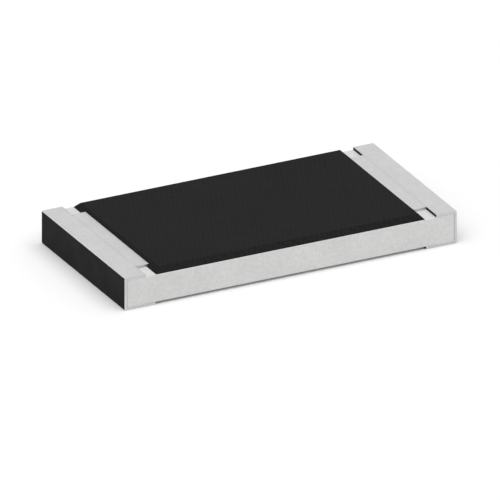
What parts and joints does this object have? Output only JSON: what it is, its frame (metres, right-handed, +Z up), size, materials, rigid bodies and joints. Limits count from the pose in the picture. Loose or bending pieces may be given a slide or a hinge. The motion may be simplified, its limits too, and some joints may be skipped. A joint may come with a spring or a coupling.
{
  "type": "chip resistor",
  "caption": "Flat rectangular surface-mount chip resistor: ceramic plate, printed film under a black overcoat, and plated terminations that wrap round both ends.",
  "frame": {"origin": "midway between the two solder lands, on the plane that they rest on", "axes": "+X along the chip to its right-hand end, +Y across it to the back, +Z up from the lands to the overcoat"},
  "size_m": [0.0064, 0.0032, 0.0007],
  "materials": {
    "alumina": "matte",
    "silver_print": "matte",
    "resistive_print": "matte",
    "glass_print": "gloss",
    "black_overcoat": "matte",
    "end_metal": "matte",
    "nickel": "satin",
    "tin": "satin"
  },
  "bodies": {
    "root": {"ceramic_substrate": "alumina", "top_electrode_left": "silver_print", "top_electrode_right": "silver_print", "bottom_electrode_left": "silver_print", "bottom_electrode_right": "silver_print", "resistive_film": "resistive_print", "glass_undercoat": "glass_print", "overcoat": "black_overcoat", "end_electrode_left": "end_metal", "end_electrode_right": "end_metal", "nickel_barrier_left": "nickel", "nickel_barrier_right": "nickel", "tin_plating_left": "tin", "tin_plating_right": "tin"}
  },
  "joints": []
}
